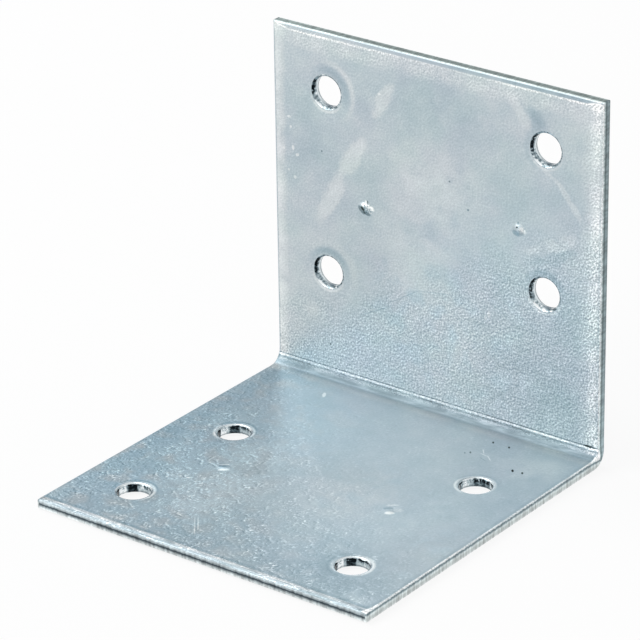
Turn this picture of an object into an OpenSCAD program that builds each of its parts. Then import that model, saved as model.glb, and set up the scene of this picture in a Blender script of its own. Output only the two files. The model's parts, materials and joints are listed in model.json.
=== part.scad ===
// Wide corner brace: one strip of sheet steel, cropped, punched and folded
// once to a right angle. The base leg lies flat and the upright leg stands at
// its back. Each leg has four screw holes, staggered so that screws driven
// through the two legs don't meet, and two small pips raised by the tool.
// Origin: bottom centre of the bounding box. X runs along the fold, +Y points
// out of the upright's back face, +Z is up. All sizes are in millimetres.

/* [Sheet] */
// Width of the sheet, along the fold
sheet_w = 60; // [56:1:120]
// Thickness of the sheet
sheet_t = 1.5; // [1:0.1:3]
// Length of the base leg, from the back of the heel to its free end
base_leg = 60; // [56:0.5:100]
// Height of the upright leg, from the underside of the heel to its top
upright_leg = 58.5; // [56:0.5:100]

/* [Fold] */
// Radius on the inside of the fold
fold_r = 1.5; // [0.5:0.1:4]
// How far the inside of the fold swells out at each side of the sheet
fold_swell = 0.2; // [0.1:0.05:0.5]
// Radius of the patch on the side of the sheet that swells
fold_swell_reach = 2.6; // [2:0.1:4]

/* [Screw holes] */
// Diameter of the punched holes
hole_d = 5; // [3:0.1:6]
// Distance between the left and the right column of holes
hole_columns = 40; // [34:0.5:46]
// Heel to the low hole: left column of the upright, right column of the base
hole_low = 19.2; // [15:0.1:20]
// Heel to the mid hole: right column of the upright, left column of the base
hole_mid = 25.8; // [22:0.1:30]
// Heel to both far holes of the base leg
base_hole_far = 49.8; // [46:0.1:51]
// Heel to both far holes of the upright leg
upright_hole_far = 48.9; // [46:0.1:51]
// Radius of the lip drawn down round each hole by the punch
hole_lip_r = 0.4; // [0.1:0.05:0.8]

/* [Sheared edges] */
// Width of the rolled-over band along the two cropped ends
end_roll_w = 1.4; // [0.6:0.1:2]
// Depth to which the band has dropped where it meets the end face
end_roll_d = 0.3; // [0.1:0.05:0.5]
// Radius of the arris along the two slit sides
side_arris_r = 0.25; // [0.1:0.05:0.45]

/* [Tool pips] */
// Diameter of the pips
pip_d = 1.8; // [1:0.1:2.4]
// Height of the pips above the inner face
pip_h = 0.3; // [0.1:0.05:0.5]
// Middle of the sheet to the left pip of the upright
upright_pip_left_x = 13.1; // [8:0.1:16]
// Heel to the left pip of the upright
upright_pip_left_far = 31.6; // [31:0.1:40]
// Middle of the sheet to the right pip of the upright
upright_pip_right_x = 15.3; // [8:0.1:16]
// Heel to the right pip of the upright
upright_pip_right_far = 35.1; // [31:0.1:40]
// Middle of the sheet to the left pip of the base
base_pip_left_x = 14.1; // [8:0.1:16]
// Heel to the left pip of the base
base_pip_left_far = 36.1; // [31:0.1:40]
// Middle of the sheet to the right pip of the base
base_pip_right_x = 14.4; // [8:0.1:16]
// Heel to the right pip of the base
base_pip_right_far = 33.3; // [31:0.1:40]

/* [Hidden] */
zinc_grey = [0.70, 0.75, 0.78];
// Overshoot of every cutter past the face that it cuts
past = 1;
fine = 64;

heel_y = base_leg / 2;
// Distance of the fold's axis from both outer faces
fold_axis = sheet_t + fold_r;
hole_x = hole_columns / 2;

// Each hole or pip: place across the width, then distance from the heel
base_holes = [
    [-hole_x, hole_mid], [-hole_x, base_hole_far],
    [hole_x, hole_low], [hole_x, base_hole_far]
];
upright_holes = [
    [-hole_x, hole_low], [-hole_x, upright_hole_far],
    [hole_x, hole_mid], [hole_x, upright_hole_far]
];
base_pips = [
    [-base_pip_left_x, base_pip_left_far],
    [base_pip_right_x, base_pip_right_far]
];
upright_pips = [
    [-upright_pip_left_x, upright_pip_left_far],
    [upright_pip_right_x, upright_pip_right_far]
];

// Radius of the arc that spans a half chord and rises by a height over it
function arc_r(half_chord, rise) = (pow(half_chord, 2) + pow(rise, 2)) / (2 * rise);

pip_ball_r = arc_r(pip_d / 2, pip_h);
end_roll_r = arc_r(end_roll_w, end_roll_d);
swell_ball_r = arc_r(fold_swell_reach, fold_swell);

// Both legs are drawn in the same frame: X across the width, Y away from the
// heel, Z out of the inner face, with the outer face at zero.
module base_frame() {
    translate([0, heel_y, 0]) mirror([0, 1, 0]) children();
}

module upright_frame() {
    translate([0, heel_y, 0]) rotate([90, 0, 0]) children();
}

// What rounds off a square corner at the origin that points up and right
module corner_notch(r) {
    translate([-r, -r]) difference() {
        square(r + past);
        circle(r, $fn = fine);
    }
}

// Section across the sheet, with an arris at each end of the inner face
module sheet_section() {
    difference() {
        translate([-sheet_w / 2, 0]) square([sheet_w, sheet_t]);
        for (side = [0, 1]) mirror([side, 0])
            translate([sheet_w / 2, sheet_t]) corner_notch(side_arris_r);
    }
}

// The straight part of a leg, from the fold to its cropped end
module flat_leg(length) {
    translate([0, length, 0]) rotate([90, 0, 0])
        linear_extrude(length - fold_axis) sheet_section();
}

// The quarter turn that joins the two legs
module fold() {
    translate([0, heel_y - fold_axis, fold_axis]) rotate([0, 90, 0])
        rotate_extrude(angle = 90, $fn = fine)
            translate([fold_r, 0]) mirror([1, -1]) sheet_section();
}

// Everything on the inner side of the line that runs at a depth inside the
// outer faces, seen from the side: Y to the right, Z up, heel at the origin
module inside_of(depth, r) {
    difference() {
        translate([-fold_swell_reach * 2, depth])
            square(fold_swell_reach * 2 - depth);
        translate([-depth, depth]) mirror([0, 1]) corner_notch(r);
    }
}

// The inside of the fold is squeezed and swells out at both sides
module fold_swells() {
    for (side = [0, 1]) mirror([side, 0, 0]) intersection() {
        translate([sheet_w / 2 - side_arris_r, heel_y, 0]) rotate([90, 0, 90])
            linear_extrude(side_arris_r + fold_swell) difference() {
                inside_of(0, fold_axis);
                inside_of(sheet_t, fold_r);
            }
        translate([sheet_w / 2 + fold_swell - swell_ball_r, heel_y - sheet_t, sheet_t])
            sphere(swell_ball_r, $fn = fine);
    }
}

// Half section of a punched hole: the bore, and the lip at the inner face
module hole_section() {
    translate([0, -past]) square([hole_d / 2, sheet_t + 2 * past]);
    translate([hole_d / 2, sheet_t]) mirror([1, 0]) corner_notch(hole_lip_r);
}

module punched_holes(holes) {
    for (at = holes) translate(at) rotate_extrude($fn = fine) hole_section();
}

// The rolled-over band that cropping leaves at the end of a leg
module end_roll(length) {
    translate([0, length - end_roll_w, sheet_t - end_roll_r]) rotate([90, 0, 90])
        translate([0, 0, -sheet_w / 2 - past]) linear_extrude(sheet_w + 2 * past)
        difference() {
            translate([0, end_roll_r - end_roll_d])
                square([end_roll_w + past, end_roll_d + past]);
            circle(end_roll_r, $fn = fine);
        }
}

// The low dome that stands on the inner face
module pip_domes(pips) {
    for (at = pips) translate(at) rotate_extrude($fn = fine) intersection() {
        translate([0, sheet_t + pip_h - pip_ball_r]) circle(pip_ball_r, $fn = fine);
        translate([0, sheet_t / 2]) square([pip_d, sheet_t]);
    }
}

// The hollow that the tool leaves in the outer face behind each pip
module pip_hollows(pips) {
    for (at = pips) translate([at[0], at[1], pip_h - pip_ball_r])
        sphere(pip_ball_r, $fn = fine);
}

module leg(length, holes, pips) {
    difference() {
        union() {
            flat_leg(length);
            pip_domes(pips);
        }
        punched_holes(holes);
        end_roll(length);
        pip_hollows(pips);
    }
}

module bracket() {
    color(zinc_grey) union() {
        base_frame() leg(base_leg, base_holes, base_pips);
        upright_frame() leg(upright_leg, upright_holes, upright_pips);
        fold();
        fold_swells();
    }
}

bracket();
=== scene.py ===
"""Wide corner brace of folded sheet steel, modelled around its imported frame.

Laid out as a Blender add-on and run as a script. Marks on the sheet are given in
millimetres, and every other length in metres.
"""

import json
from math import cos, pi, radians, sin, sqrt
from typing import NamedTuple

import bmesh
import bpy
from bpy.props import FloatProperty, FloatVectorProperty, PointerProperty
from mathutils import Matrix, Vector, noise


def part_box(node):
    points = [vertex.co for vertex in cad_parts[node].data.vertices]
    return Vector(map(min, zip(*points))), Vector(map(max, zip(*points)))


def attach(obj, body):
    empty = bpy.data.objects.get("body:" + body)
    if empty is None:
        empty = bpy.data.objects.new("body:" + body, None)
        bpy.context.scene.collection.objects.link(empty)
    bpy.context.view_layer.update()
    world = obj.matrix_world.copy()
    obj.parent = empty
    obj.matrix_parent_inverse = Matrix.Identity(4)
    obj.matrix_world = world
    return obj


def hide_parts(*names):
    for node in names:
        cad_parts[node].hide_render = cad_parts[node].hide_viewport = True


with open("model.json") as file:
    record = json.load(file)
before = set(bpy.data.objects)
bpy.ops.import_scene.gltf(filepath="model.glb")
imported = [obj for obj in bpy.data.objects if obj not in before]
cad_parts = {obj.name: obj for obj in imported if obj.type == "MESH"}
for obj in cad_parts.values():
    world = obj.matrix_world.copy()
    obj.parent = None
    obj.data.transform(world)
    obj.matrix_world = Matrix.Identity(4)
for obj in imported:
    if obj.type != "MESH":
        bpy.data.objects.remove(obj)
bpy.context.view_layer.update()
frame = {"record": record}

bl_info = {
    "name": "Wide corner brace",
    "version": (1, 0, 0),
    "blender": (4, 5, 0),
    "location": "3D View > Sidebar > Brace",
    "description": "Models a plated corner brace and the studio it stands in",
    "category": "Add Mesh",
}

MM = 0.001
# Places nearer to each other than this are the same
HAIR = 0.01 * MM
NODE = "bracket"

# ---------------------------------------------------------------------------
# What the frame says: the box of the brace, and its holes
# ---------------------------------------------------------------------------

LOW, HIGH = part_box(NODE)
MOUNTS = {m["name"]: m for m in frame["record"]["mounts"]}


def holes_of(mount):
    """The centres of a mount's two holes, on the outer face of their leg."""
    middle = Vector(mount["pos_m"])
    half = mount["dims"]["spacing_y_mm"] * MM / 2
    along = Vector((0, 0, 1)) if abs(mount["axis"][1]) > 0.5 else Vector((0, 1, 0))
    return [middle - along * half, middle + along * half]


PATTERNS = [m for m in MOUNTS.values() if m["kind"] == "bolt_pattern"]
BASE_HOLES = [c for m in PATTERNS if m["axis"][2] < 0 for c in holes_of(m)]
UPRIGHT_HOLES = [c for m in PATTERNS if m["axis"][1] > 0 for c in holes_of(m)]
HOLE_RADIUS = PATTERNS[0]["dims"]["hole_r_mm"] * MM
HEEL = MOUNTS["back_face"]["pos_m"][1]
THICKNESS_MM = 1.5

# ---------------------------------------------------------------------------
# Marks that this sheet carries, in millimetres: across from the middle, and
# from the heel along one leg or the other. They are kept as places on the
# unfolded inner face, which runs on from the base into the upright
# ---------------------------------------------------------------------------


def base_mm(from_heel):
    """Place along the unfolded face of a distance from the heel on the base."""
    return HEEL / MM - from_heel


def upright_mm(from_heel):
    """The same on the upright: the inner face is twice the thickness shorter."""
    return HEEL / MM - 2 * THICKNESS_MM + from_heel


def on_base(*marks):
    """Marks on the base, whose second number is the distance from the heel."""
    return [(across, base_mm(along), *rest) for across, along, *rest in marks]


def on_upright(*marks):
    """The same for marks on the upright."""
    return [(across, upright_mm(along), *rest) for across, along, *rest in marks]


# Pips: place across the width, then distance from the heel, in metres
BASE_PIPS = [(-14.1 * MM, 36.1 * MM), (14.4 * MM, 33.3 * MM)]
UPRIGHT_PIPS = [(-13.1 * MM, 31.6 * MM), (15.3 * MM, 35.1 * MM)]

# Tone of the plating where nothing marks it, and the painted light that makes the upright
# paler than the base
REST_TONE = 0.715
UPRIGHT_PAINTED_LIGHT = 0.018

# Where the coarse orange peel of the upright begins, and where the slit side
# begins to be paler towards the fold
PEEL_LINE = upright_mm(22.3) * MM
IRON_START, IRON_END = upright_mm(20) * MM, upright_mm(10) * MM

# Soft blooms in the passivation: across, along, half width, half length, turn
# in degrees and strength
BLOOMS = on_base(
    (22, 28, 16, 22, 0, -0.02), (-12, 42, 16, 13, 0, 0.045), (9, 34, 13, 12, 0, 0.02),
    (-12, 38, 15, 17, 0, 0.03), (-30, 30, 6, 26, 0, -0.03), (22, 51, 14, 14, 0, -0.06),
    (14, 8, 18, 9, 0, 0.015), (0, 58, 40, 9, 0, -0.02), (24, 11, 8, 8, 0, 0.045),
    (-8, 50, 9, 7, 0, 0.045), (-13, 30, 8, 7, 0, 0.045), (-27, 6, 6, 6, 0, -0.045),
    (-23, 34, 8, 9, 0, 0.03), (18, 56, 12, 7, 0, -0.035), (16, 47, 7, 7, 0, -0.03),
    (27, 55, 7, 7, 0, -0.025)) + on_upright(
    (24, 24, 10, 12, 0, -0.02), (-14, 50, 12, 10, 0, -0.02), (3, 51, 17, 10, 0, -0.03),
    (0, 37, 14, 14, 0, 0.05), (-4, 24, 10, 13, 0, 0.035), (-24, 40, 9, 12, 0, -0.03),
    (-29, 12, 7, 18, 0, 0.03), (20, 12, 18, 20, 0, -0.055), (0, 14, 17, 15, 0, 0.01),
    (26, 54, 8, 9, 0, 0.03), (-25, 55, 11, 8, 0, 0.01), (17.8, 53.6, 2.2, 4.2, 32, -0.1),
    (-23, 12, 4, 1.8, 15, 0.04))

# Where the passivation is bluest
COOL_BLOOMS = on_base(
    (-30, 38, 40, 46, 0, 0.85), (0, 53, 20, 12, 0, 0.3), (-28, 9, 10, 11, 0, 0.3))

# Where the passivation is thinnest and leaves the zinc greyer
WARM_BLOOMS = on_base(
    (4, 30, 17, 15, 0, 0.7), (27, 45, 14, 20, 0, 0.7)) + on_upright(
    (6, 14, 32, 20, 0, 0.9))

# Light streaks left on the upright by handling, and darker ones beside them
STREAKS = on_upright(
    (-9.5, 49.8, 1.5, 4.6, -35, 0.06), (-15, 39.4, 1.9, 5, -30, 0.06),
    (-19.4, 31.8, 1.9, 6.6, -26, 0.055), (15.3, 53.6, 1.2, 4.6, 36, 0.035),
    (23.9, 42, 0.8, 4.6, 32, 0.05), (20.6, 45.4, 0.7, 3, 52, 0.035),
    (21.6, 34.2, 1.4, 8, -63, 0.045), (21.8, 32, 1.2, 6, -63, -0.03))

# Painted light and shade of the shallow dish round each screw hole, seen as
# crescents: across, along, radius, half width, the way that they face in
# degrees, the cosine of the turn at which they have died out, and strength
PAINTED_DISH_SHADING = on_base(
    (-20, 25.8, 3, 0.4, 37, 0.1, 0.16), (-20, 49.8, 3, 0.45, 37, 0.1, 0.2),
    (20, 19.2, 2.95, 0.3, 75, -0.4, 0.1), (20, 49.8, 3, 0.5, 20, -0.3, 0.2),
    (-20, 25.8, 3.1, 0.4, 217, 0.6, 0.22), (20, 19.2, 3.1, 0.35, 217, 0.6, 0.16),
    (20, 49.8, 3, 0.35, 217, 0.6, 0.1), (-20, 25.8, 3.4, 0.35, 110, -0.3, -0.12),
    (-20, 49.8, 3.45, 0.3, 110, -0.3, -0.12), (20, 49.8, 3.6, 0.35, 200, 0, -0.06),
    (20, 19.2, 3.3, 0.3, 120, -0.3, -0.05)) + on_upright(
    (-20, 48.9, 3.7, 1.2, 55, 0.1, -0.08), (-20, 48.9, 5, 0.8, 20, 0.1, 0.05),
    (-20, 19.2, 3.6, 1, 85, 0.1, -0.09), (-20, 19.2, 5, 1.3, 10, 0.1, 0.03),
    (20, 48.9, 3.4, 0.9, 170, 0.1, -0.03), (20, 25.8, 3.4, 0.9, 85, 0.1, -0.07),
    (-20, 48.9, 3.1, 0.35, 262, 0.2, 0.09), (-20, 19.2, 3.1, 0.4, 262, 0.2, 0.09),
    (20, 48.9, 3.1, 0.3, 262, 0.2, 0.07), (20, 25.8, 3.1, 0.3, 262, 0.2, 0.09))

# Painted reflections in the walls of the holes, black where below zero: the
# shade under the plate, seen in the base's holes, and the bright surround, seen
# in pale patches on both legs
PAINTED_BORE_REFLECTIONS = on_base(
    (-22.5, 25.4, 0.9, 0.8, 0, 0.9), (-22.5, 49.4, 0.9, 0.8, 0, 0.9),
    (17.5, 18.8, 0.9, 0.8, 0, 0.8), (17.5, 49.4, 0.9, 0.8, 0, 0.8),
    (-21.5, 23.8, 1, 1, 0, -1.8), (-21.7, 48, 0.95, 0.95, 0, -2),
    (18.4, 47.9, 0.85, 0.85, 0, -1.8), (19, 16.8, 1.2, 1, 0, -1),
    (20.2, 16.7, 0.9, 0.9, 0, -0.8), (-22.4, 26.4, 0.5, 0.6, 0, -2),
    (-22.3, 50.8, 0.5, 0.6, 0, -2.2), (17.5, 19.4, 0.5, 0.6, 0, -1.4),
    (17.6, 50.4, 0.5, 0.6, 0, -2)) + on_upright(
    (-19.6, 46.4, 2, 0.8, 0, 0.2), (-19.6, 16.7, 2, 0.8, 0, 0.2),
    (20.4, 46.4, 2, 0.8, 0, 0.2), (20.4, 23.3, 2, 0.8, 0, 0.2))

# Painted reflections next to the inner face, in the same way: dark ones, where
# the metal is also torn, and bright ones
PAINTED_RIM_REFLECTIONS = on_base(
    (-19.9, 23.3, 1.2, 0.8, 0, -1.6), (20, 47.3, 1.3, 0.8, 0, -1.8),
    (21.2, 47.7, 1, 0.8, 0, -1.4)) + on_upright(
    (-22.4, 49.6, 1.5, 2.1, 0, -1.3), (-21.6, 46.5, 1.2, 0.55, -34, 1.5),
    (-22.4, 19.9, 1.5, 2.2, 0, -1.3), (-21.6, 16.8, 1.2, 0.55, -34, 1.5),
    (17.6, 49.6, 1.5, 2.3, 0, -1.3), (18.4, 46.5, 1.2, 0.55, -34, 1.5),
    (17.6, 26.5, 1.5, 2.3, 0, -1.3), (18.4, 23.4, 1.2, 0.55, -34, 1.5))

# Small nicks: dark pinholes, bright dots and hair scratches; with them painted
# light: painted highlights and painted shade round the pips and on the swell
# at the right end of the fold, and a painted dark line above the fold
NICKS_AND_PAINTED_LIGHT = on_base(
    (-13.4, 36.8, 1.1, 0.36, 37, 0.24), (-14.1, 36.1, 0.7, 0.4, 37, -0.14),
    (-14.4, 35.4, 1, 0.28, 37, 0.24), (14.9, 33.8, 0.9, 0.5, 37, 0.18),
    (13.9, 32.7, 0.9, 0.5, 37, -0.1), (13.8, 31.5, 1.3, 0.26, 37, 0.08),
    (15.5, 32.3, 1, 0.7, 37, 0.04), (14.1, 6.1, 0.18, 0.42, 37, -0.5),
    (17, 6.1, 0.18, 0.42, 37, -0.55), (13.2, 10.8, 0.18, 0.4, 37, -0.3),
    (12.6, 11.4, 0.16, 0.3, 37, -0.2), (21.8, 12.2, 0.22, 0.5, 37, -0.8),
    (23.4, 12, 0.18, 0.42, 37, -0.6), (14.6, 9.4, 0.12, 0.9, 40, 0.12),
    (15.3, 10.3, 0.12, 0.9, 80, 0.12), (16.6, 10.8, 0.12, 1.1, 50, 0.12),
    (16, 11.6, 0.12, 1, 70, -0.08), (-16.6, 7.6, 0.35, 1, 30, 0.16),
    (-5.7, 53.4, 0.14, 3.5, 38, 0.14), (-5.8, 53, 0.12, 3, 38, -0.06),
    (-5.8, 52.5, 0.14, 2.6, 38, 0.14), (29.3, 0.1, 0.9, 0.3, 0, 0.14),
    (21, 0.28, 5.5, 0.2, 0, 0.12), (21.5, 2.8, 5.5, 0.7, 0, 0.04)) + on_upright(
    (-13.5, 31.2, 1, 0.5, -42, -0.22), (-12.5, 30.8, 0.8, 0.35, -12, -0.22),
    (-13.2, 31.4, 0.55, 0.3, -42, -0.4), (-11.9, 31.9, 0.9, 0.5, -15, 0.18),
    (-13.1, 32.1, 0.5, 0.45, 0, 0.2), (-12.7, 32.5, 0.3, 0.6, 10, 0.16),
    (-12.9, 32, 0.16, 0.16, 0, -0.4), (-12.4, 32.7, 0.12, 0.4, 0, -0.35),
    (15.1, 35.3, 0.22, 0.22, 0, -0.55), (14.8, 34.4, 0.9, 0.5, -20, -0.1),
    (16.1, 35.1, 0.8, 0.4, -25, 0.12), (15.2, 36.1, 0.2, 0.35, 0, -0.16),
    (-27.2, 43.4, 0.5, 0.25, 0, 0.1), (-26.9, 41.8, 0.3, 0.3, 0, 0.09),
    (-26.5, 38.4, 0.28, 0.5, 0, 0.11), (-25.7, 37.4, 0.45, 0.3, 20, 0.12),
    (-28.3, 38, 0.3, 0.25, 0, 0.09), (-26.2, 33.6, 0.35, 0.35, 0, 0.09),
    (-27.4, 34.6, 0.25, 0.25, 0, 0.09), (-10.1, 50.9, 0.4, 0.22, 0, 0.1),
    (10, 19.9, 0.3, 0.8, 0, 0.09), (9.4, 19.2, 0.25, 0.5, 0, 0.08),
    (6.2, 36, 0.24, 0.22, 0, -0.22), (2.8, 39.8, 0.2, 0.18, 0, -0.24),
    (-21, 39.1, 0.18, 0.22, 0, -0.24), (-19.8, 7, 0.2, 0.2, 0, -0.28),
    (10.5, 3.35, 3.2, 0.11, -2.5, -0.08), (28.4, 3.05, 1.4, 0.24, 0, -0.45),
    (29.4, 3.9, 0.3, 0.9, -8, 0.14), (-11.2, 14.9, 0.1, 4.2, -62, -0.08),
    (-5.6, 18.8, 0.1, 4, -58, -0.08), (0.4, 20.9, 0.1, 4, -82, -0.06))

# Where a tool bit the face and left it rough
ROUGH_SPOTS = on_upright(
    (-12.5, 31.7, 1.6, 1.4, 0, 0.3), (15.8, 35.1, 1.5, 1.1, 0, 0.14))

# How deep a mark reaches, the size of the orange peel, how strongly the grain
# shows, and what the thick and the thin passivation do to the metal's colour
MARK_DEPTH = 0.7 * MM
PEEL = 0.34 * MM
GRAIN_CONTRAST = 4.7
COOL_FILM = (0.80, 0.97, 1.06, 1)
WARM_FILM = (1.06, 0.98, 0.95, 1)

# ---------------------------------------------------------------------------
# Sizes and colours that a user would change
# ---------------------------------------------------------------------------

# Main colours of the three finishes
PLATE = "#B2BEC4"
SHEARED = "#87928F"
BORE = "#8C9CA3"


def length(name, text, millimetres):
    """A length property, in metres, whose default is given in millimetres."""
    return FloatProperty(name=name, description=text, default=millimetres * MM,
                         min=0.0, precision=5, unit="LENGTH", subtype="DISTANCE")


def angle(name, text, degrees):
    """An angle property whose default is given in degrees."""
    return FloatProperty(name=name, description=text, default=radians(degrees),
                         precision=4, unit="ROTATION", subtype="ANGLE")


def power(name, text, watts):
    """The power of a lamp, in watts."""
    return FloatProperty(name=name, description=text, default=watts, min=0.0,
                         unit="POWER")


def linear(hex_code):
    """An sRGB colour such as "#A0B0C0" as linear red, green and blue."""
    steps = [int(hex_code[i:i + 2], 16) / 255 for i in (1, 3, 5)]
    return [s / 12.92 if s <= 0.04045 else ((s + 0.055) / 1.055) ** 2.4
            for s in steps]


def colour(name, text, hex_code):
    """A colour property whose default is given as sRGB hex."""
    return FloatVectorProperty(name=name, description=text, size=3, min=0.0, max=1.0,
                               default=linear(hex_code), subtype="COLOR")


class SheetSizes(bpy.types.PropertyGroup):
    width: length("Width", "Width of the sheet along the fold", 60)
    thickness: length("Thickness", "Thickness of the sheet", THICKNESS_MM)
    fold_radius: length("Fold radius", "Radius on the inside of the fold", 1.5)
    fold_swell: length("Fold swell", "How far the squeezed fold swells out sideways", 0.2)
    roll_width: length("Roll width", "Width of the rolled-over band at a cropped end", 1.4)
    roll_depth: length("Roll depth", "Depth of that band at the end face", 0.3)
    side_roll_width: length("Side roll width", "Width of the fall at a slit side", 1.2)
    side_roll_depth: length("Side roll depth", "Depth of that fall", 0.07)
    inner_arris: length("Inner arris", "Radius of the arris on the inner face", 0.2)
    outer_arris: length("Outer arris", "Radius of the arris on the outer face", 0.08)


class HoleSizes(bpy.types.PropertyGroup):
    radius: length("Radius", "Radius of the punched holes", HOLE_RADIUS / MM)
    lip: length("Lip", "Radius of the lip that the punch draws down", 0.36)
    breakout: length("Break-out", "How much wider the torn part of the bore is", 0.05)
    dish: length("Dish", "Depth of the shallow dish round each hole", 0.06)


class PipSizes(bpy.types.PropertyGroup):
    diameter: length("Diameter", "Diameter of the raised pips", 1.8)
    height: length("Height", "Height of the pips above the inner face", 0.3)


class FinishColours(bpy.types.PropertyGroup):
    plate: colour("Plating", "Zinc plating under its blue passivation", PLATE)
    sheared: colour("Sheared steel", "Cropped and slit edges, thinly plated", SHEARED)
    bore: colour("Punched steel", "Walls of the punched holes", BORE)


class StudioSizes(bpy.types.PropertyGroup):
    azimuth: angle("Azimuth", "Camera's turn about the upright axis", 37.222)
    elevation: angle("Elevation", "Camera's height above the horizon", 24.672)
    roll: angle("Roll", "Camera's roll about its own axis", -0.831)
    distance: length("Distance", "Camera to the middle of the brace", 575.6)
    target: FloatVectorProperty(
        name="Target", description="Point that the camera looks at", size=3,
        default=(0.108 * MM, -0.36 * MM, 27.214 * MM), precision=5, unit="LENGTH",
        subtype="TRANSLATION")
    lens: FloatProperty(
        name="Focal length", description="Focal length of the camera's lens, in mm",
        default=222.6, min=1.0, unit="CAMERA")
    overhead: power("Overhead lamp", "Power of the soft box overhead", 3.2)
    front: power("Front lamp", "Power of the soft box at the front left", 3.0)
    wall: colour("Wall", "Paint of the wall that the metal reflects", "#9BA9B3")


class BraceSettings(bpy.types.PropertyGroup):
    sheet: PointerProperty(type=SheetSizes)
    holes: PointerProperty(type=HoleSizes)
    pips: PointerProperty(type=PipSizes)
    finish: PointerProperty(type=FinishColours)
    studio: PointerProperty(type=StudioSizes)


# ---------------------------------------------------------------------------
# Modelling by hand: small helpers around the edit-mode operators
# ---------------------------------------------------------------------------


def activate(piece):
    """Leave edit mode and select one piece alone, or none."""
    if bpy.context.object and bpy.context.object.mode != "OBJECT":
        bpy.ops.object.mode_set(mode="OBJECT")
    bpy.ops.object.select_all(action="DESELECT")
    if piece:
        bpy.context.view_layer.objects.active = piece
        piece.select_set(True)


def edit(piece):
    """Go into edit mode on one piece alone, with nothing selected."""
    activate(piece)
    bpy.ops.object.mode_set(mode="EDIT")
    bpy.ops.mesh.select_mode(type="VERT")
    bpy.ops.mesh.select_all(action="DESELECT")


def bake_place():
    """Apply where the active object stands, how it is turned and its scale."""
    bpy.ops.object.transform_apply(location=True, rotation=True, scale=True)


def pick(kind, test):
    """In edit mode, select the edges or faces that pass a test."""
    piece = bpy.context.object
    bpy.ops.mesh.select_mode(type=kind)
    bpy.ops.mesh.select_all(action="DESELECT")
    mesh = bmesh.from_edit_mesh(piece.data)
    for item in {"EDGE": mesh.edges, "FACE": mesh.faces}[kind]:
        if test(item):
            item.select_set(True)
    mesh.select_flush_mode()
    bmesh.update_edit_mesh(piece.data)


def apply_modifier(piece, kind, name, **settings):
    """Add a modifier, set it and apply it."""
    activate(piece)
    modifier = piece.modifiers.new(name, kind)
    for key, value in settings.items():
        setattr(modifier, key, value)
    bpy.ops.object.modifier_apply(modifier=modifier.name)


def press(piece, name, axis, depth, weight_of):
    """Push vertices along an axis by a depth times their weight, as a painted
    group on a Displace modifier does."""
    group = piece.vertex_groups.new(name=name)
    for vertex in piece.data.vertices:
        weight = weight_of(vertex.co)
        if weight > 0:
            group.add([vertex.index], min(weight, 1.0), "REPLACE")
    apply_modifier(piece, "DISPLACE", name, direction=axis, mid_level=0.0,
                   strength=depth, vertex_group=name)
    piece.vertex_groups.remove(piece.vertex_groups[name])


def ease(value, start, end):
    """Smooth step from zero at the start to one at the end."""
    t = min(max((value - start) / (end - start), 0.0), 1.0)
    return t * t * (3 - 2 * t)


def grain(place, size, seed=0.0):
    """Smooth noise between -1 and 1 with features of about a given size."""
    return noise.noise(place / size + Vector((seed, seed * 0.37, -seed)))


def arc_drop(reach, width, depth):
    """How far an arc has dropped at a reach inside its width, as a share of
    its full depth."""
    if reach <= 0:
        return 0.0
    radius = (width ** 2 + depth ** 2) / (2 * depth)
    reach = min(reach, width)
    return (radius - sqrt(radius ** 2 - reach ** 2)) / depth


def middle_of(edge):
    """The middle of an edge."""
    return (edge.verts[0].co + edge.verts[1].co) / 2


# ---------------------------------------------------------------------------
# Where a point lies on the sheet
# ---------------------------------------------------------------------------


class Leg(NamedTuple):
    """One leg: the axis and the sign of the way into its inner face, the test
    for a place on it, what it carries, and the share of the full depth or
    height that its rolled end and its pips have."""

    name: str
    axis: str
    inwards: int
    holds: object
    holes: list
    pips: list
    roll_share: float
    pip_share: float

    def flat(self, co):
        """A place as seen from straight above the leg."""
        return co.xy if self.axis == "Z" else co.xz

    def nearest(self, co, centres):
        """Distance along the leg from the nearest of some centres."""
        return min((self.flat(co) - self.flat(c)).length for c in centres)


class Sheet:
    """Places on the folded sheet, worked out from its sizes."""

    def __init__(self, sizes):
        self.width = sizes.width
        self.thick = sizes.thickness
        self.front = LOW.y
        self.top = HIGH.z
        self.axis = sizes.thickness + sizes.fold_radius
        self.axis_y = HEEL - self.axis
        self.inner_y = HEEL - sizes.thickness
        self.legs = (
            Leg("base", "Z", -1, self.on_base, BASE_HOLES,
                [Vector((x, HEEL - far, self.thick)) for x, far in BASE_PIPS], 0.8, 0.6),
            Leg("upright", "Y", 1, self.on_upright, UPRIGHT_HOLES,
                [Vector((x, self.inner_y, far)) for x, far in UPRIGHT_PIPS], 0.05, 1.0))

    def on_base(self, co):
        return co.y < self.axis_y + HAIR and co.z < self.axis

    def on_upright(self, co):
        return co.z > self.axis - HAIR and co.y > self.axis_y

    def height(self, co):
        """Height above the outer face, as a share of the thickness."""
        level = co.z if self.on_base(co) else HEEL - co.y
        return level / self.thick

    def side(self, co):
        """Distance from the nearer side of the sheet."""
        return self.width / 2 - abs(co.x)

    def end(self, co):
        """Distance from the cropped end of the leg."""
        return co.y - self.front if self.on_base(co) else self.top - co.z


# How finely the sheet is divided: across, through, round the fold, along a leg
# and in the zone next to a cropped end
COLUMNS, LAYERS, FOLD_STEPS, LEG_CUTS, END_CUTS = 80, 6, 12, 71, 9
END_ZONE = 2.4 * MM


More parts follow.
